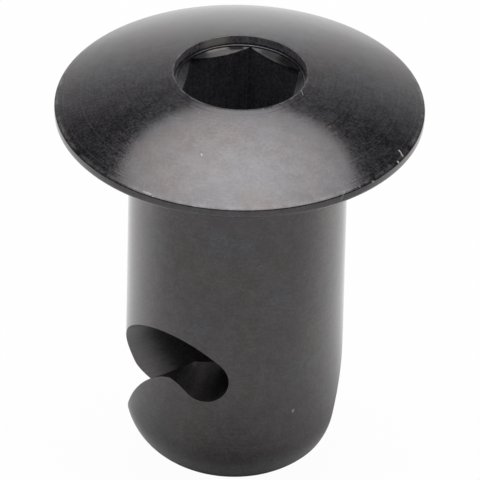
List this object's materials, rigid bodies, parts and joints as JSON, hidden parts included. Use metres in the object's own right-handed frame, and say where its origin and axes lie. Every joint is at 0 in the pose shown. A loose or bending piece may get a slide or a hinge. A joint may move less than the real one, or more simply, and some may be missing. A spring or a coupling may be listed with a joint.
{
  "type": "quarter-turn fastener stud",
  "caption": "Quarter-turn fastener stud: low crowned head with a hex socket, plain round shank, rounded nose, and a curved cam slot that ends in a round wire seat.",
  "frame": {"origin": "stud axis at the head's underside, where the head meets the panel", "axes": "+Z along the stud axis out of the head, -Z towards the nose; a hex corner of the socket points to +Y, and the wire seat faces 8 degrees left of -Y"},
  "size_m": [0.0188, 0.0188, 0.0228],
  "materials": {
    "black_anodise": "black anodised, satin, fine turning lines"
  },
  "bodies": {
    "root": {"stud": "black_anodise"}
  },
  "joints": []
}
